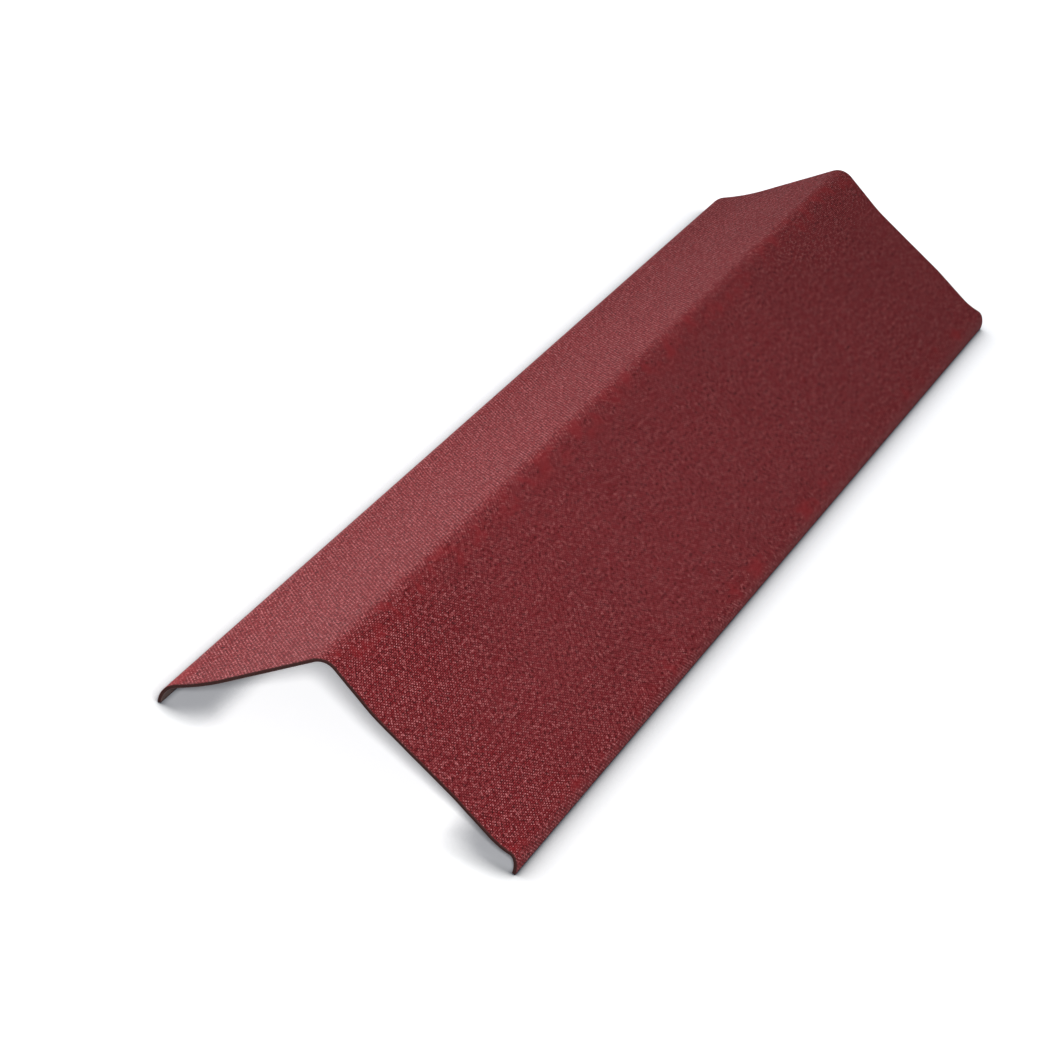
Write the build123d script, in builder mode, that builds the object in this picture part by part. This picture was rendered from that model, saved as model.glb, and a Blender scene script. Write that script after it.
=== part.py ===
# Verge trim: one pressed sheet of bitumen-bound fibre, folded along a ridge into a wide and a narrow flange.
# Each flange ends in a rolled lip. The trim stands on the two lips, with its length along X and the floor at Z 0.
# Everything is in millimetres. Slopes are in degrees below the horizontal, going outwards from the ridge.
from build123d import *
from math import cos, radians, sin
import os

# The sheet
LENGTH = 1000.0
SHEET = 2.6

# The ridge
RIDGE_INNER_RADIUS = 12.0

# The wide flange, from the ridge down to its lip: three flat runs with two slight bends between them
WIDE_UPPER_SLOPE = 31.0
WIDE_UPPER_RUN = 30.0
WIDE_MIDDLE_SLOPE = 24.0
WIDE_MIDDLE_RUN = 60.0
WIDE_LOWER_SLOPE = 27.5
WIDE_LOWER_RUN = 29.0
WIDE_BEND_RADIUS = 120.0

# The wide flange's foot flattens out, turns a tight corner and goes down as a lip that leans back under it
WIDE_FOOT_SLOPE = 8.5
WIDE_FOOT_RADIUS = 49.0
WIDE_CORNER_INNER_RADIUS = 4.4
WIDE_CORNER_SLOPE = 57.0
WIDE_LIP_INNER_RADIUS = 13.5
WIDE_LIP_LEAN = 10.0

# The narrow flange is flat, then sweeps out to a foot that rolls over into its lip
NARROW_SLOPE = 39.0
NARROW_SWEEP_RADIUS = 200.0
NARROW_FOOT_SLOPE = 28.0
NARROW_LIP_INNER_RADIUS = 15.0
NARROW_LIP_LEAN = 10.0

# A lip's end slope: straight down, and its lean beyond that
WIDE_LIP_SLOPE = 90.0 + WIDE_LIP_LEAN
NARROW_LIP_SLOPE = 90.0 + NARROW_LIP_LEAN

# Radii of the outer face, where the sheet's thickness lies inside the bend
RIDGE_RADIUS = RIDGE_INNER_RADIUS + SHEET
WIDE_CORNER_RADIUS = WIDE_CORNER_INNER_RADIUS + SHEET
WIDE_LIP_RADIUS = WIDE_LIP_INNER_RADIUS + SHEET
NARROW_LIP_RADIUS = NARROW_LIP_INNER_RADIUS + SHEET


def run_drop(length, slope):
    """Height lost along a flat run of the outer face."""
    return length * sin(radians(slope))


def bend_drop(radius, slope_from, slope_to):
    """Height lost along a bend of the outer face between two slopes."""
    return radius * abs(cos(radians(slope_from)) - cos(radians(slope_to)))


# The wide side sets the ridge's height over the floor
WIDE_DROP = (
    bend_drop(RIDGE_RADIUS, 0, WIDE_UPPER_SLOPE)
    + run_drop(WIDE_UPPER_RUN, WIDE_UPPER_SLOPE)
    + bend_drop(WIDE_BEND_RADIUS, WIDE_UPPER_SLOPE, WIDE_MIDDLE_SLOPE)
    + run_drop(WIDE_MIDDLE_RUN, WIDE_MIDDLE_SLOPE)
    + bend_drop(WIDE_BEND_RADIUS, WIDE_MIDDLE_SLOPE, WIDE_LOWER_SLOPE)
    + run_drop(WIDE_LOWER_RUN, WIDE_LOWER_SLOPE)
    + bend_drop(WIDE_FOOT_RADIUS, WIDE_LOWER_SLOPE, WIDE_FOOT_SLOPE)
    + bend_drop(WIDE_CORNER_RADIUS, WIDE_FOOT_SLOPE, WIDE_CORNER_SLOPE)
    + bend_drop(WIDE_LIP_RADIUS, WIDE_CORNER_SLOPE, WIDE_LIP_SLOPE)
)

# The narrow flange's flat is as long as it takes to bring both lips to the same floor
NARROW_BENDS_DROP = (
    bend_drop(RIDGE_RADIUS, 0, NARROW_SLOPE)
    + bend_drop(NARROW_SWEEP_RADIUS, NARROW_SLOPE, NARROW_FOOT_SLOPE)
    + bend_drop(NARROW_LIP_RADIUS, NARROW_FOOT_SLOPE, NARROW_LIP_SLOPE)
)
NARROW_RUN = (WIDE_DROP - NARROW_BENDS_DROP) / sin(radians(NARROW_SLOPE))

# Outer face of the section, drawn from the tip of the wide lip, over the ridge, to the tip of the narrow lip.
# A left-hand turn is positive.
with BuildLine() as outer_face:
    lip_start = (cos(radians(WIDE_LIP_SLOPE)), sin(radians(WIDE_LIP_SLOPE)))
    wide_lip = JernArc((0, 0), lip_start, WIDE_LIP_RADIUS, WIDE_CORNER_SLOPE - WIDE_LIP_SLOPE)
    wide_corner = JernArc(wide_lip @ 1, wide_lip % 1, WIDE_CORNER_RADIUS, WIDE_FOOT_SLOPE - WIDE_CORNER_SLOPE)
    wide_foot = JernArc(wide_corner @ 1, wide_corner % 1, WIDE_FOOT_RADIUS, WIDE_LOWER_SLOPE - WIDE_FOOT_SLOPE)
    wide_lower = PolarLine(wide_foot @ 1, WIDE_LOWER_RUN, direction=wide_foot % 1)
    lower_bend = JernArc(wide_lower @ 1, wide_lower % 1, WIDE_BEND_RADIUS, WIDE_MIDDLE_SLOPE - WIDE_LOWER_SLOPE)
    wide_middle = PolarLine(lower_bend @ 1, WIDE_MIDDLE_RUN, direction=lower_bend % 1)
    upper_bend = JernArc(wide_middle @ 1, wide_middle % 1, WIDE_BEND_RADIUS, WIDE_UPPER_SLOPE - WIDE_MIDDLE_SLOPE)
    wide_upper = PolarLine(upper_bend @ 1, WIDE_UPPER_RUN, direction=upper_bend % 1)
    ridge = JernArc(wide_upper @ 1, wide_upper % 1, RIDGE_RADIUS, -(WIDE_UPPER_SLOPE + NARROW_SLOPE))
    narrow_flat = PolarLine(ridge @ 1, NARROW_RUN, direction=ridge % 1)
    narrow_sweep = JernArc(narrow_flat @ 1, narrow_flat % 1, NARROW_SWEEP_RADIUS, NARROW_SLOPE - NARROW_FOOT_SLOPE)
    narrow_lip = JernArc(narrow_sweep @ 1, narrow_sweep % 1, NARROW_LIP_RADIUS, NARROW_FOOT_SLOPE - NARROW_LIP_SLOPE)

# The section's plane stands at the near end, with the middle of the section's width over Y 0
SECTION_MIDDLE = outer_face.line.bounding_box().center().X
SECTION_PLANE = Plane(origin=(-LENGTH / 2, -SECTION_MIDDLE, 0), x_dir=(0, 1, 0), z_dir=(1, 0, 0))

with BuildPart() as verge_trim:
    with BuildSketch(SECTION_PLANE):
        with BuildLine():
            add(outer_face.line)
            offset(amount=SHEET, side=Side.RIGHT, closed=True)
        make_face()
    extrude(amount=LENGTH)

verge_trim.part.label = "verge_trim"
os.makedirs("parts", exist_ok=True)
export_step(verge_trim.part, "parts/verge_trim.step")

section_box = outer_face.line.bounding_box()
print(f"ridge height {section_box.max.Y:.2f}, width {section_box.size.X:.2f}, narrow run {NARROW_RUN:.2f}")
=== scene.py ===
# Looks of the verge trim: a detailed sheet mesh in place of the plain solid, its materials, the studio and the camera.
# The section is given in millimetres and degrees, with the solid's own sizes. All that goes to Blender is in metres.
import bpy
import math
from mathutils import Matrix, Vector, noise


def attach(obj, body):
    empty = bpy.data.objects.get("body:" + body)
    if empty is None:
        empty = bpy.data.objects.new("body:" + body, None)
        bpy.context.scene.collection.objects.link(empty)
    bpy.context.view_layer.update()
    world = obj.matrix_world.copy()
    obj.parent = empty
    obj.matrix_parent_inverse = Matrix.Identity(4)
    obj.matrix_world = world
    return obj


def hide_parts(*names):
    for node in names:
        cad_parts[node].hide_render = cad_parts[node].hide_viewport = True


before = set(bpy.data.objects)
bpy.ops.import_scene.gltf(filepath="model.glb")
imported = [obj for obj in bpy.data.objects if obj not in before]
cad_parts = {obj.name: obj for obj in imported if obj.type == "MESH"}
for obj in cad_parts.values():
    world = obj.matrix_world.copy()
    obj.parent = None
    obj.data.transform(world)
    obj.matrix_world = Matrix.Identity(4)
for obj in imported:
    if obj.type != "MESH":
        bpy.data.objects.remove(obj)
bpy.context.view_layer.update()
MM = 0.001

# The section's outer face. A run is (slope, length) and a bend is (slope that it reaches, radius).
LENGTH = 1000.0
SHEET = 2.6
RIDGE_RADIUS = 12.0 + SHEET
WIDE_UPPER = (31.0, 30.0)
WIDE_MIDDLE = (24.0, 60.0)
WIDE_LOWER = (27.5, 29.0)
WIDE_BEND_RADIUS = 120.0
WIDE_FOOT = (8.5, 49.0)
WIDE_CORNER = (57.0, 4.4 + SHEET)
WIDE_LIP = (100.0, 13.5 + SHEET)
NARROW_SLOPE = 39.0
NARROW_SWEEP = (28.0, 200.0)
NARROW_LIP = (100.0, 15.0 + SHEET)


def bend_drop(radius, slope_a, slope_b):
    """Height lost along a bend between two slopes."""
    return radius * abs(math.cos(math.radians(slope_a)) - math.cos(math.radians(slope_b)))


def run_drop(slope, length):
    """Height lost along a straight run."""
    return length * math.sin(math.radians(slope))


RIDGE_HEIGHT = (
    bend_drop(RIDGE_RADIUS, 0, WIDE_UPPER[0]) + run_drop(*WIDE_UPPER)
    + bend_drop(WIDE_BEND_RADIUS, WIDE_UPPER[0], WIDE_MIDDLE[0]) + run_drop(*WIDE_MIDDLE)
    + bend_drop(WIDE_BEND_RADIUS, WIDE_MIDDLE[0], WIDE_LOWER[0]) + run_drop(*WIDE_LOWER)
    + bend_drop(WIDE_FOOT[1], WIDE_LOWER[0], WIDE_FOOT[0])
    + bend_drop(WIDE_CORNER[1], WIDE_FOOT[0], WIDE_CORNER[0])
    + bend_drop(WIDE_LIP[1], WIDE_CORNER[0], WIDE_LIP[0])
)
# The narrow flange's flat is as long as it takes to bring both lips to the same floor
NARROW_RUN = (
    RIDGE_HEIGHT
    - bend_drop(RIDGE_RADIUS, 0, NARROW_SLOPE)
    - bend_drop(NARROW_SWEEP[1], NARROW_SLOPE, NARROW_SWEEP[0])
    - bend_drop(NARROW_LIP[1], NARROW_SWEEP[0], NARROW_LIP[0])
) / math.sin(math.radians(NARROW_SLOPE))

# The path from the wide lip's tip to the narrow lip's tip: turns with their radius, left-hand positive, and runs
PATH = [
    ("turn", WIDE_CORNER[0] - WIDE_LIP[0], WIDE_LIP[1]),
    ("turn", WIDE_FOOT[0] - WIDE_CORNER[0], WIDE_CORNER[1]),
    ("turn", WIDE_LOWER[0] - WIDE_FOOT[0], WIDE_FOOT[1]),
    ("run", WIDE_LOWER[1]),
    ("turn", WIDE_MIDDLE[0] - WIDE_LOWER[0], WIDE_BEND_RADIUS),
    ("run", WIDE_MIDDLE[1]),
    ("turn", WIDE_UPPER[0] - WIDE_MIDDLE[0], WIDE_BEND_RADIUS),
    ("run", WIDE_UPPER[1]),
    ("turn", -(WIDE_UPPER[0] + NARROW_SLOPE), RIDGE_RADIUS),
    ("run", NARROW_RUN),
    ("turn", NARROW_SLOPE - NARROW_SWEEP[0], NARROW_SWEEP[1]),
    ("turn", NARROW_SWEEP[0] - NARROW_LIP[0], NARROW_LIP[1]),
]

# Steps along the path: RUN_STEP on runs and gentle bends, and TURN_STEP or at most LONGEST_TURN degrees on tight bends
RUN_STEP = 5.0
TURN_STEP = 1.3
LONGEST_TURN = 6.0
GENTLE_RADIUS = 100.0


def section_path():
    """Points of the outer face as (y, z, heading, girth). Girth is the distance from the wide tip along the face."""
    y, z, girth = 0.0, 0.0, 0.0
    heading = math.radians(WIDE_LIP[0])
    points = [(y, z, heading, girth)]
    for kind, *size in PATH:
        if kind == "run":
            count = max(1, round(size[0] / RUN_STEP))
            for _ in range(count):
                y += size[0] / count * math.cos(heading)
                z += size[0] / count * math.sin(heading)
                girth += size[0] / count
                points.append((y, z, heading, girth))
            continue
        turn, radius = math.radians(size[0]), size[1]
        arc = abs(turn) * radius
        if radius > GENTLE_RADIUS:
            count = max(2, round(arc / RUN_STEP))
        else:
            count = max(2, round(arc / TURN_STEP), math.ceil(abs(size[0]) / LONGEST_TURN))
        side = math.copysign(radius, turn)
        centre = (y - side * math.sin(heading), z + side * math.cos(heading))
        for k in range(1, count + 1):
            at = heading + turn * k / count
            points.append((
                centre[0] + side * math.sin(at),
                centre[1] - side * math.cos(at),
                at,
                girth + arc * k / count,
            ))
        y, z, heading, girth = points[-1]
    ys = [p[0] for p in points]
    middle = 0.5 * (min(ys) + max(ys))
    return [(p[0] - middle, p[1], p[2], p[3]) for p in points]


OUTER = section_path()
GIRTH = OUTER[-1][3]
CROWN = max(OUTER, key=lambda p: p[1])[3]
WIDE_CORNER_AT = (
    math.radians(WIDE_LIP[0] - WIDE_CORNER[0]) * WIDE_LIP[1]
    + math.radians(WIDE_CORNER[0] - WIDE_FOOT[0]) * WIDE_CORNER[1]
)

# The sheet's mesh: rings of points along the length, and the rounding of the cut ends' rims and the lips' tips
STATION_GAP = 6.5
END_BAND = 4.0
RIM = 0.3
TIP_ROUNDING = 0.7
TIP_STEPS = 4
SHARP_ANGLE = 38
TOP, CUT, UNDER = 0, 1, 2

# The flanges' unevenness: its reach, the distances over which it sets in from the lips and from the crown,
# and its waves, each with its lengths along and across the sheet, its seed and its share
WAVE_REACH = 0.28
FROM_LIPS = (34, 60)
FROM_CROWN = (14, 34)
WAVES = ((210, 95, 3.7, 1.0), (60, 42, 9.1, 0.35))

# The saw cut's raggedness: its reach, and its waves, each with its length, its end's seed, its own seed and its share
RAGGED_REACH = 0.35
RAGGED_WAVES = ((17, 5.3, 1.9, 0.6), (3.1, 2.7, 6.4, 0.4))


def smooth(low, high, value):
    """0 up to low and 1 from high on, with a smooth step between them."""
    t = min(1.0, max(0.0, (value - low) / (high - low)))
    return t * t * (3 - 2 * t)


def wave(x, girth):
    """How far the sheet stands off its true place: nothing near the crown and the lips, which set the part's box."""
    free = smooth(*FROM_LIPS, min(girth, GIRTH - girth)) * smooth(*FROM_CROWN, abs(girth - CROWN))
    return WAVE_REACH * free * sum(
        share * noise.noise(Vector((x / along, girth / across, seed)))
        for along, across, seed, share in WAVES
    )


def ragged(girth, end):
    """How far the saw cut falls short of the full length at an end."""
    return RAGGED_REACH * sum(
        share * (0.5 + 0.5 * noise.noise(Vector((girth / length, end * end_seed, seed))))
        for length, end_seed, seed, share in RAGGED_WAVES
    )


def tip(point, outward, inset):
    """A lip's end between the two faces, with both corners rounded: from the outer face to the inner one."""
    y, z, heading, girth = point
    inwards = Vector((math.sin(heading), -math.cos(heading)))
    radius = TIP_ROUNDING - inset
    base = Vector((y, z)) - outward * TIP_ROUNDING
    points = []
    for depth, outer_corner in ((TIP_ROUNDING, True), (SHEET - TIP_ROUNDING, False)):
        centre = base + inwards * depth
        for k in range(TIP_STEPS + 1):
            angle = math.radians(90 * k / TIP_STEPS)
            if outer_corner:
                at = centre + radius * (outward * math.sin(angle) - inwards * math.cos(angle))
            else:
                at = centre + radius * (outward * math.cos(angle) + inwards * math.sin(angle))
            points.append((at.x, at.y, heading, girth))
    return points


def section_loop(inset):
    """The section's closed loop, set back from its faces by inset: outer face, narrow tip, inner face, wide tip."""
    first, last = OUTER[0], OUTER[-1]
    ahead = Vector((math.cos(last[2]), math.sin(last[2])))
    behind = -Vector((math.cos(first[2]), math.sin(first[2])))

    def face(depth):
        return [(y + depth * math.sin(h), z - depth * math.cos(h), h, g) for y, z, h, g in OUTER[1:-1]]

    return face(inset) + tip(last, ahead, inset) + face(SHEET - inset)[::-1] + tip(first, behind, inset)[::-1]


def stations():
    """The rings along the length as (x, inset from the faces, end that the ring belongs to, distance back from it)."""
    half = LENGTH / 2
    inner = LENGTH - 2 * END_BAND
    count = round(inner / STATION_GAP)
    near = [(-half, RIM, -1, 0.0), (-half, 0.0, -1, RIM)]
    between = [(-half + END_BAND + inner * k / count, 0.0, 0, 0.0) for k in range(count + 1)]
    far = [(half, 0.0, 1, RIM), (half, RIM, 1, 0.0)]
    return near + between + far


def sheet_faces(ring_count):
    """Faces as point numbers, each with its material: along the sheet's length first, then the two cut ends."""
    body = len(OUTER) - 2
    tip_count = 2 * (TIP_STEPS + 1)
    count = 2 * (body + tip_count)
    faces, kinds = [], []
    for r in range(ring_count - 1):
        for k in range(count):
            n = (k + 1) % count
            faces.append((r * count + k, r * count + n, (r + 1) * count + n, (r + 1) * count + k))
            if k < body - 1:
                kinds.append(TOP)
            elif body + tip_count <= k < 2 * body + tip_count - 1:
                kinds.append(UNDER)
            else:
                kinds.append(CUT)
    for ring, near in ((0, True), (ring_count - 1, False)):
        base = ring * count
        under = base + body + tip_count
        ends = [(base + k, base + k + 1, under + body - 2 - k, under + body - 1 - k) for k in range(body - 1)]
        ends.append(tuple(base + body - 1 + k for k in range(tip_count + 2)))
        ends.append((*(under + body - 1 + k for k in range(tip_count + 1)), base))
        faces += ends if near else [end[::-1] for end in ends]
        kinds += [CUT] * len(ends)
    return faces, kinds


def sheet_mesh():
    """The sheet, with each point's place on the unrolled sheet in the attributes along and girth."""
    loops = {inset: section_loop(inset) for inset in (0.0, RIM)}
    rings = stations()
    verts, alongs, girths = [], [], []
    for x, inset, end, back in rings:
        for y, z, heading, girth in loops[inset]:
            at = x if end == 0 else x - end * (back + ragged(girth, end))
            off = wave(at, girth)
            verts.append((at * MM, (y - off * math.sin(heading)) * MM, (z + off * math.cos(heading)) * MM))
            alongs.append(at)
            girths.append(girth)
    faces, kinds = sheet_faces(len(rings))
    mesh = bpy.data.meshes.new("pressed_sheet")
    mesh.from_pydata(verts, [], faces)
    mesh.polygons.foreach_set("material_index", kinds)
    for name, values in (("along", alongs), ("girth", girths)):
        mesh.attributes.new(name, "FLOAT", "POINT").data.foreach_set("value", values)
    mesh.polygons.foreach_set("use_smooth", [True] * len(faces))
    mesh.set_sharp_from_angle(angle=math.radians(SHARP_ANGLE))
    mesh.update()
    return mesh


sheet = bpy.data.objects.new("pressed_sheet", sheet_mesh())
bpy.context.scene.collection.objects.link(sheet)


class Graph:
    """The node tree of a material or the world, built by short calls that return sockets."""

    def __init__(self, owner):
        owner.use_nodes = True
        self.owner = owner
        self.tree = owner.node_tree
        self.tree.nodes.clear()

    def put(self, socket, value):
        """Link a socket to another, or set its value."""
        if isinstance(value, bpy.types.NodeSocket):
            self.tree.links.new(value, socket)
        else:
            socket.default_value = value

    def put_all(self, sockets, values):
        for socket, value in zip(sockets, values):
            self.put(socket, value)

    def node(self, kind, **inputs):
        """A node with inputs by name, where an underscore stands for a space."""
        made = self.tree.nodes.new(kind)
        for key, value in inputs.items():
            self.put(made.inputs[key.replace("_", " ")], value)
        return made

    def math(self, operation, *values, clamp=False):
        made = self.tree.nodes.new("ShaderNodeMath")
        made.operation = operation
        made.use_clamp = clamp
        self.put_all(made.inputs, values)
        return made.outputs[0]

    def times(self, a, b):
        return self.math("MULTIPLY", a, b)

    def minus(self, a, b):
        return self.math("SUBTRACT", a, b)

    def most(self, a, b):
        return self.math("MAXIMUM", a, b)

    def blend_in(self, value, share, rest, clamp=False):
        """The value times its share, plus the rest."""
        return self.math("MULTIPLY_ADD", value, share, rest, clamp=clamp)

    def span(self, value, low, high, to_low=0.0, to_high=1.0, kind="LINEAR"):
        """The value's place between low and high, mapped to another range and held inside it."""
        made = self.tree.nodes.new("ShaderNodeMapRange")
        made.interpolation_type = kind
        self.put_all(made.inputs, (value, low, high, to_low, to_high))
        return made.outputs[0]

    def ramp(self, value, low, high, most=1.0):
        """A smooth step from 0 at low to most at high."""
        return self.span(value, low, high, 0.0, most, "SMOOTHSTEP")

    def attribute(self, name):
        made = self.tree.nodes.new("ShaderNodeAttribute")
        made.attribute_name = name
        return made.outputs["Fac"]

    def vector(self, *values):
        made = self.tree.nodes.new("ShaderNodeCombineXYZ")
        self.put_all(made.inputs, values)
        return made.outputs[0]

    def noise(self, vector, scale, detail, roughness=0.5):
        made = self.node("ShaderNodeTexNoise", Vector=vector, Scale=scale, Detail=detail, Roughness=roughness)
        return made.outputs[0]

    def white(self, *place):
        """A number from 0 to 1 for each place."""
        return self.node("ShaderNodeTexWhiteNoise", Vector=self.vector(*place)).outputs["Value"]

    def mix(self, factor, a, b, blend="MIX"):
        made = self.tree.nodes.new("ShaderNodeMix")
        made.data_type = "RGBA"
        made.blend_type = blend
        self.put(made.inputs[0], factor)
        self.put(made.inputs[6], a)
        self.put(made.inputs[7], b)
        return made.outputs[2]

    def finish(self, shader, kind="ShaderNodeOutputMaterial"):
        self.put(self.tree.nodes.new(kind).inputs["Surface"], shader)
        return self.owner


def rough_surface(g, colour, roughness, relief, strength, depth):
    """The shader of a rough surface with a relief in metres."""
    bump = g.node("ShaderNodeBump", Strength=strength, Distance=depth, Height=relief)
    return g.node("ShaderNodeBsdfPrincipled", Base_Color=colour, Roughness=roughness, Normal=bump.outputs[0], IOR=1.5)


# The emboss is a plain weave. It wanders by PULL_REACH, with a noise for each of its two directions.
WARP_PITCH = 1.64
WEFT_PITCH = 1.30
WEFT_HEIGHT = 0.45
PULL_SCALE = 0.022
PULL_REACH = 3.0
PULL_SEEDS = (0.0, 40.0)


def sheet_coordinates(g):
    """The place on the unrolled sheet in millimetres, and its two coordinates as the emboss has them."""
    along, girth = g.attribute("along"), g.attribute("girth")
    place, turned = g.vector(along, girth, PULL_SEEDS[0]), g.vector(girth, along, PULL_SEEDS[1])
    pulled = [
        g.blend_in(g.minus(g.noise(at, PULL_SCALE, 1.0), 0.5), PULL_REACH, true)
        for at, true in ((place, along), (turned, girth))
    ]
    return place, *pulled


def weave(g, along, girth):
    """The woven emboss's height from 0 to 1, and the numbers of the nearest crossing's warp and weft threads."""
    i_at = g.math("DIVIDE", along, WARP_PITCH)
    j_at = g.math("DIVIDE", girth, WEFT_PITCH)
    i, j = g.math("ROUND", i_at), g.math("ROUND", j_at)
    wave_i, wave_j, sign_i, sign_j = [g.math("COSINE", g.times(v, math.pi)) for v in (i_at, j_at, i, j)]

    def thread(at, nearest):
        off = g.minus(at, nearest)
        return g.minus(1.0, g.times(g.times(off, off), 4.0))

    warp = g.times(thread(i_at, i), g.times(wave_j, sign_i))
    weft = g.times(thread(j_at, j), g.times(g.times(wave_i, sign_j), -WEFT_HEIGHT))
    return g.math("MAXIMUM", warp, weft, clamp=True), i, j


# Noises over the top: scale per millimetre, detail and roughness
CLOUD_NOISE = (0.011, 3.0, 0.5)
PATCH_NOISE = (0.09, 3.0, 0.6)
FLECK_NOISE = (0.38, 2.0, 0.8)
GRAIN_NOISE = (1.1, 2.0, 0.7)
RUB_NOISE = (0.045, 3.0, 0.6)

# The top's colours, and how far each noise shifts its tone between the two plain reds
DEEP_RED = (0.030, 0.002, 0.003, 1)
PLAIN_LOW = (0.235, 0.010, 0.016, 1)
PLAIN_HIGH = (0.335, 0.018, 0.025, 1)
CHALK_AND_SHEEN_PINK = (0.85, 0.31, 0.32, 1)
SMOOTH_RED = (0.230, 0.012, 0.016, 1)
WORN_RIM = (0.050, 0.016, 0.015, 1)
CLOUD_SHIFT, PATCH_SHIFT, FLECK_SHIFT = 0.9, 0.55, 2.2

# Ramps as (from, to, most). The deep red between the threads is painted shade in the weave's hollows; in the dark
# flecks it is the top's own darker tone.
SHADED_HOLLOWS = (0.60, 0.02, 0.92)
DARK_FLECKS = (-0.02, -0.16, 0.84)

# The pale pink lies on the threads' tops where the coat wears, on the tops of some crossings and in pale flecks, and
# thins out along the sheet. It is partly wear of the coat and partly painted sheen on the raised threads, and its
# thinning towards the far end paints the sheen's fall-off.
THREAD_WEAR_AND_SHEEN = (0.35, 1.0)
PALE_CROSSINGS = (0.64, 0.94)
CROSSING_TOPS = (0.35, 0.85)
PALE_FLECKS = (0.03, 0.20)
ON_THREADS, ON_CROSSINGS, IN_FLECKS = 0.26, 0.72, 0.34
CHALK_AND_SHEEN_MIDDLE = 0.83
CHALK_AND_SHEEN_PER_MM = -0.00034
CROSSING_SEEDS = (0.0, 7.0)

# Patches rubbed smooth: the girth that they lie along, the distances from it where they set in and are full,
# their noise's seed, and its values where they set in and are full
RIDGE_RUB = (CROWN - 5.0, (14.0, 4.0), 90.0, (0.46, 0.64))
CORNER_RUB = (WIDE_CORNER_AT, (10.0, 3.0), 190.0, (0.52, 0.68))
RUBBED = 0.55
# One more at the near end of the narrow foot, with an edge that wanders
END_RUB = (GIRTH - 17.0, (12.0, 4.0))
END_RUB_ALONG = (-432.0, -462.0)
END_RUB_WANDER = 40.0

# The dark rim where the coat has broken away along the sheet's edges
RIM_WIDTH = (1.3, 0.1)
RIM_WANDER = 1.6
RIM_DARKNESS = 0.80

TOP_SHINE = 0.10
TOP_ROUGHNESS = 0.68
THREAD_ROUGHNESS = -0.10
PATCH_ROUGHNESS = 0.14
TOP_RELIEF = 0.00030


def band(g, girth, reach):
    """1 near a girth of the sheet and 0 away from it."""
    return g.ramp(g.math("ABSOLUTE", g.minus(g.attribute("girth"), girth)), *reach)


def rub(g, girth, reach, seed, patches):
    """Rubbed patches strung along a girth of the sheet."""
    at = g.vector(g.attribute("along"), g.attribute("girth"), seed)
    return g.times(band(g, girth, reach), g.ramp(g.noise(at, *RUB_NOISE), *patches))


def top_material():
    g = Graph(bpy.data.materials.new("pressed_sheet_red"))
    place, pulled_along, pulled_girth = sheet_coordinates(g)
    height, i, j = weave(g, pulled_along, pulled_girth)
    crossing, crossing_two = [g.white(i, j, seed) for seed in CROSSING_SEEDS]
    cloud = g.noise(place, *CLOUD_NOISE)
    patch = g.noise(place, *PATCH_NOISE)
    grain = g.noise(place, *GRAIN_NOISE)
    fleck = g.minus(g.noise(place, *FLECK_NOISE), 0.5)

    tone = g.blend_in(g.minus(cloud, 0.5), CLOUD_SHIFT, 0.5)
    tone = g.blend_in(g.minus(patch, 0.5), PATCH_SHIFT, tone)
    tone = g.blend_in(fleck, FLECK_SHIFT, tone, clamp=True)
    colour = g.mix(tone, PLAIN_LOW, PLAIN_HIGH)
    # Painted shade: the top turns deep red in the weave's hollows, where the emboss is low.
    colour = g.mix(g.ramp(height, *SHADED_HOLLOWS), colour, DEEP_RED)
    colour = g.mix(g.ramp(fleck, *DARK_FLECKS), colour, DEEP_RED)

    # Pale pink on the threads' raised tops: partly wear of the coat, partly painted sheen.
    thread_wear_and_sheen = g.times(height, g.blend_in(crossing, 0.9, 0.35))
    speck = g.times(g.ramp(crossing_two, *PALE_CROSSINGS), g.ramp(height, *CROSSING_TOPS))
    # Painted fall-off of that sheen: the pink thins from the near end towards the far end.
    chalk_and_sheen_fade = g.blend_in(g.attribute("along"), CHALK_AND_SHEEN_PER_MM, CHALK_AND_SHEEN_MIDDLE)
    for amount, most in (
        (g.ramp(thread_wear_and_sheen, *THREAD_WEAR_AND_SHEEN), ON_THREADS),
        (speck, ON_CROSSINGS),
        (g.ramp(fleck, *PALE_FLECKS), IN_FLECKS),
    ):
        colour = g.mix(g.times(g.times(amount, most), chalk_and_sheen_fade), colour, CHALK_AND_SHEEN_PINK)

    end_along = g.blend_in(patch, END_RUB_WANDER, g.attribute("along"))
    end_rub = g.times(band(g, *END_RUB), g.ramp(end_along, *END_RUB_ALONG))
    bald = g.most(end_rub, g.most(rub(g, *RIDGE_RUB), rub(g, *CORNER_RUB)))
    colour = g.mix(g.times(bald, RUBBED), colour, SMOOTH_RED)

    from_ends = g.minus(LENGTH / 2, g.math("ABSOLUTE", g.attribute("along")))
    from_tips = g.math("MINIMUM", g.attribute("girth"), g.minus(GIRTH, g.attribute("girth")))
    from_edge = g.math("MINIMUM", from_ends, from_tips)
    rim = g.ramp(g.blend_in(g.minus(grain, 0.5), RIM_WANDER, from_edge), *RIM_WIDTH)
    colour = g.mix(g.times(rim, RIM_DARKNESS), colour, WORN_RIM)

    roughness = g.blend_in(patch, PATCH_ROUGHNESS, g.blend_in(height, THREAD_ROUGHNESS, TOP_ROUGHNESS))
    relief = g.blend_in(grain, 0.22, g.blend_in(crossing, g.times(height, 0.35), height))
    shader = rough_surface(g, colour, roughness, relief, 1.0, TOP_RELIEF)
    shader.inputs["Specular IOR Level"].default_value = TOP_SHINE
    return g.finish(shader.outputs[0])


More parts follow.
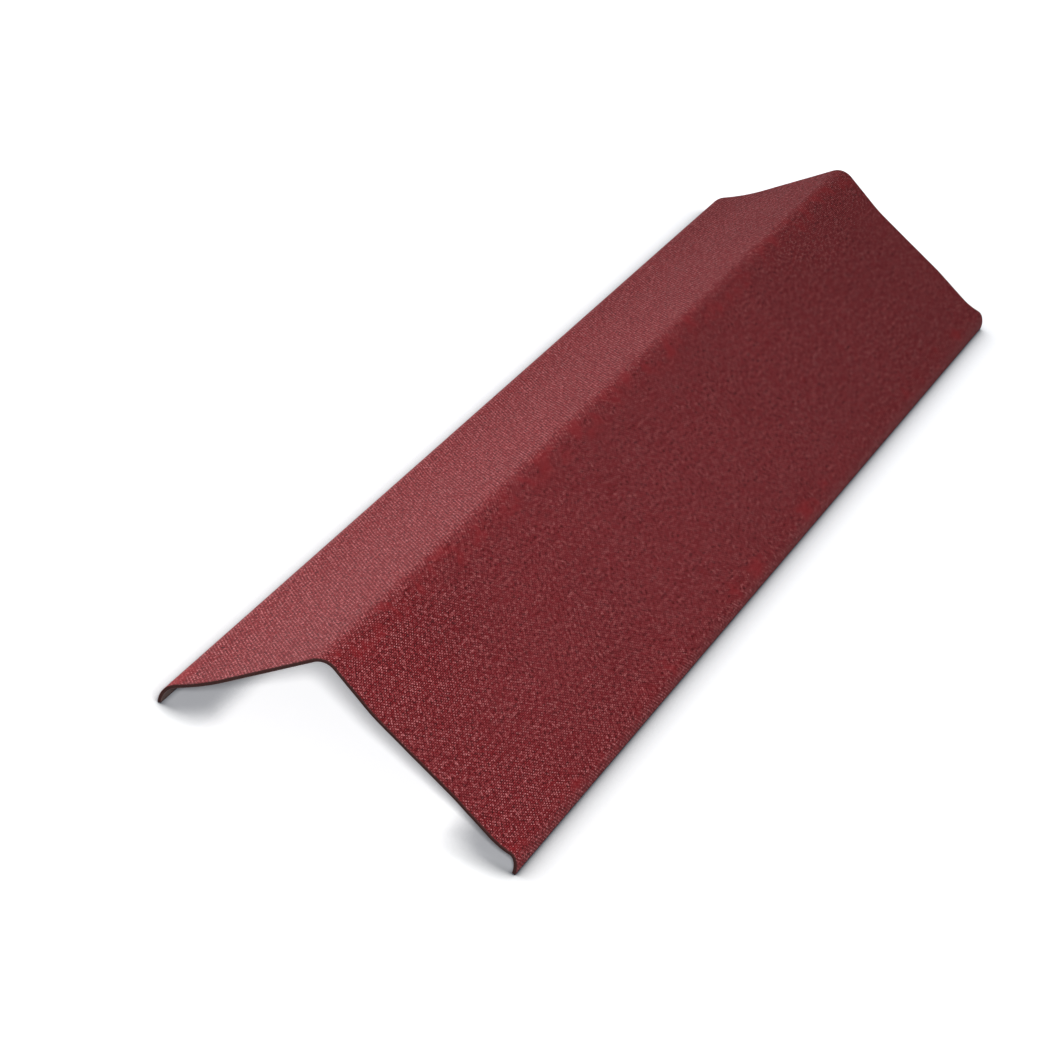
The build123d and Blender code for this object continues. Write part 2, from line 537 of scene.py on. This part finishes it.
# The cut edge: dark fibre ends
CUT_DARK = (0.008, 0.004, 0.004, 1)
CUT_LIGHT = (0.042, 0.015, 0.013, 1)
CUT_MIDDLE = (0.024, 0.010, 0.009, 1)
FIBRE_NOISE = (900.0, 4.0, 0.7)
CUT_SLOW_NOISE = (0.08, 2.0)
CUT_SHINE = 0.08
CUT_ROUGHNESS = 0.85
CUT_RELIEF = 0.00025


def cut_material():
    g = Graph(bpy.data.materials.new("pressed_sheet_cut"))
    place = g.vector(g.attribute("along"), g.attribute("girth"), 0.0)
    fibre = g.noise(g.node("ShaderNodeTexCoord").outputs["Object"], *FIBRE_NOISE)
    colour = g.mix(fibre, CUT_DARK, CUT_LIGHT)
    colour = g.mix(g.times(g.noise(place, *CUT_SLOW_NOISE), 0.5), colour, CUT_MIDDLE)
    shader = rough_surface(g, colour, CUT_ROUGHNESS, fibre, 0.9, CUT_RELIEF)
    shader.inputs["Specular IOR Level"].default_value = CUT_SHINE
    return g.finish(shader.outputs[0])


# The underside: uncoated, with the weave pressed through only weakly
UNDER_DARK = (0.050, 0.025, 0.021, 1)
UNDER_LIGHT = (0.095, 0.047, 0.040, 1)
UNDER_GRAIN = (0.030, 0.016, 0.014, 1)
UNDER_PATCH_NOISE = (0.05, 4.0, 0.6)
UNDER_GRAIN_NOISE = (1.3, 3.0, 0.7)
UNDER_ROUGHNESS = 0.8
UNDER_RELIEF = 0.00022


def under_material():
    g = Graph(bpy.data.materials.new("pressed_sheet_under"))
    place, pulled_along, pulled_girth = sheet_coordinates(g)
    height = weave(g, pulled_along, pulled_girth)[0]
    grain = g.noise(place, *UNDER_GRAIN_NOISE)
    colour = g.mix(g.noise(place, *UNDER_PATCH_NOISE), UNDER_DARK, UNDER_LIGHT)
    colour = g.mix(g.times(grain, 0.5), colour, UNDER_GRAIN)
    relief = g.blend_in(grain, 0.9, g.times(height, 0.5))
    return g.finish(rough_surface(g, colour, UNDER_ROUGHNESS, relief, 0.8, UNDER_RELIEF).outputs[0])


# In the order of TOP, CUT and UNDER
for made in (top_material(), cut_material(), under_material()):
    sheet.data.materials.append(made)
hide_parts("verge_trim")
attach(sheet, "root")

# Lamps: name, place, aimed at, size, power in watts
LAMPS = [
    ("front", (-2.14, -0.593, 1.355), (0.0, 0.0, 0.0), 0.28, 60.0),
    ("side_far", (0.237, 1.016, 0.25), (-0.35, 0.0, 0.0), 0.6, 3.0),
    ("side_near", (-0.50, 1.174, 0.25), (-0.50, 0.0, 0.0), 0.6, 8.4),
    ("side_high", (-0.25, 1.04, 0.60), (-0.25, 0.0, 0.0), 0.6, 3.0),
    ("top", (0.05, -0.15, 1.20), (0.05, 0.0, 0.0), 0.6, 1.4),
]
AMBIENT = 0.15

# The floor shows as white to the camera and keeps the sheet's shadow.
# Its glow grows with the distance from the front lamp's foot, because that lamp's light on it fades.
FLOOR_REACH = 15.0
FLOOR_DROP = 0.0002
FLOOR_COLOUR = (0.80, 0.80, 0.80, 1)
GLOW_COLOUR = (0.94, 0.96, 1.0, 1)
GLOW_DISTANCES = (1.15, 3.1)
GLOW_STRENGTHS = (0.17, 0.85)
WHITE = (1, 1, 1, 1)

# Near the sheet a painted contact shadow darkens the floor's colours a little more, outside its footprint and under
# it: the openness where the shade is full and where it ends, and the darkest tone
CONTACT_REACH = 0.032
OUTSIDE = ((0.50, 0.99), (0.036, 0.042, 0.052, 1))
BENEATH = ((0.54, 0.93), (0.37, 0.375, 0.39, 1))
# The footprint's half sizes, each with the depths inside it where BENEATH sets in and is full
FOOTPRINT = ((0.500, (-0.012, 0.008)), (0.1285, (-0.002, 0.006)))


def painted_contact_shade(g):
    """The painted contact shadow: what the floor's colours are multiplied by near the sheet."""
    openness = g.node("ShaderNodeAmbientOcclusion", Distance=CONTACT_REACH).outputs["AO"]
    tones = [g.mix(g.span(openness, *shade), darkest, WHITE) for shade, darkest in (OUTSIDE, BENEATH)]
    spot = g.tree.nodes.new("ShaderNodeSeparateXYZ")
    g.put(spot.inputs[0], g.node("ShaderNodeTexCoord").outputs["Object"])
    depths = [
        g.ramp(g.minus(half, g.math("ABSOLUTE", spot.outputs[axis])), *edge)
        for axis, (half, edge) in enumerate(FOOTPRINT)
    ]
    return g.mix(g.times(*depths), *tones)


def floor_material():
    g = Graph(bpy.data.materials.new("studio_floor"))
    ray = g.node("ShaderNodeLightPath").outputs
    seen = g.most(ray["Is Camera Ray"], g.most(ray["Is Glossy Ray"], ray["Is Transmission Ray"]))
    away = g.node("ShaderNodeVectorMath", Vector=g.node("ShaderNodeTexCoord").outputs["Object"])
    away.operation = "DISTANCE"
    away.inputs[1].default_value = (*LAMPS[0][1][:2], 0.0)
    strength = g.span(away.outputs["Value"], *GLOW_DISTANCES, *GLOW_STRENGTHS)
    # The painted contact shadow darkens both the floor's glow and its diffuse colour.
    tone = painted_contact_shade(g)
    glow = g.node("ShaderNodeEmission", Color=g.mix(1.0, GLOW_COLOUR, tone, "MULTIPLY"),
                  Strength=g.times(seen, strength))
    diffuse = g.node("ShaderNodeBsdfDiffuse", Color=g.mix(1.0, FLOOR_COLOUR, tone, "MULTIPLY"))
    both = g.tree.nodes.new("ShaderNodeAddShader")
    g.put_all(both.inputs, (diffuse.outputs[0], glow.outputs[0]))
    return g.finish(both.outputs[0])


def floor_corner(x, y):
    return (x * FLOOR_REACH, y * FLOOR_REACH, -FLOOR_DROP)


floor_mesh = bpy.data.meshes.new("studio_floor")
floor_mesh.from_pydata([floor_corner(x, y) for x, y in ((-1, -1), (1, -1), (1, 1), (-1, 1))], [], [(0, 1, 2, 3)])
floor_mesh.materials.append(floor_material())
floor = bpy.data.objects.new("studio_floor", floor_mesh)
bpy.context.scene.collection.objects.link(floor)


def studio_world():
    """A world that shows as white and lights the sheet by AMBIENT."""
    g = Graph(bpy.data.worlds.new("studio"))
    ray = g.node("ShaderNodeLightPath").outputs
    strength = g.span(g.most(ray["Is Camera Ray"], ray["Is Glossy Ray"]), 0.0, 1.0, AMBIENT, 1.0)
    background = g.node("ShaderNodeBackground", Color=WHITE, Strength=strength)
    return g.finish(background.outputs[0], "ShaderNodeOutputWorld")


bpy.context.scene.world = studio_world()

for name, place, target, size, power in LAMPS:
    lamp = bpy.data.lights.new(name, "AREA")
    lamp.shape = "DISK"
    lamp.size = size
    lamp.energy = power
    body = bpy.data.objects.new(name, lamp)
    body.visible_camera = False
    body.location = place
    body.rotation_euler = (Vector(target) - Vector(place)).to_track_quat("-Z", "Y").to_euler()
    bpy.context.scene.collection.objects.link(body)

# The camera at the photograph's place, found from the sheet's two ends and its long outlines
FOCAL_PIXELS = 3600.0
PHOTO_PIXELS = 1050.0
SENSOR = 36.0
NEAREST, FARTHEST = 0.05, 60.0
EYE = Vector((-2.2785, -0.5625, 1.3012))
AHEAD = Vector((0.83426, 0.23094, -0.50068)).normalized()
RIGHT = Vector((0.39460, -0.88430, 0.24962))
RIGHT = (RIGHT - AHEAD * RIGHT.dot(AHEAD)).normalized()
UP = RIGHT.cross(AHEAD)
camera_data = bpy.data.cameras.new("photo_camera")
camera_data.sensor_width = SENSOR
camera_data.lens = SENSOR * FOCAL_PIXELS / PHOTO_PIXELS
camera_data.clip_start = NEAREST
camera_data.clip_end = FARTHEST
camera = bpy.data.objects.new("photo_camera", camera_data)
camera.matrix_world = Matrix((
    (RIGHT.x, UP.x, -AHEAD.x, EYE.x),
    (RIGHT.y, UP.y, -AHEAD.y, EYE.y),
    (RIGHT.z, UP.z, -AHEAD.z, EYE.z),
    (0, 0, 0, 1),
))
bpy.context.scene.collection.objects.link(camera)
bpy.context.scene.camera = camera
bpy.context.scene.view_settings.view_transform = "Standard"
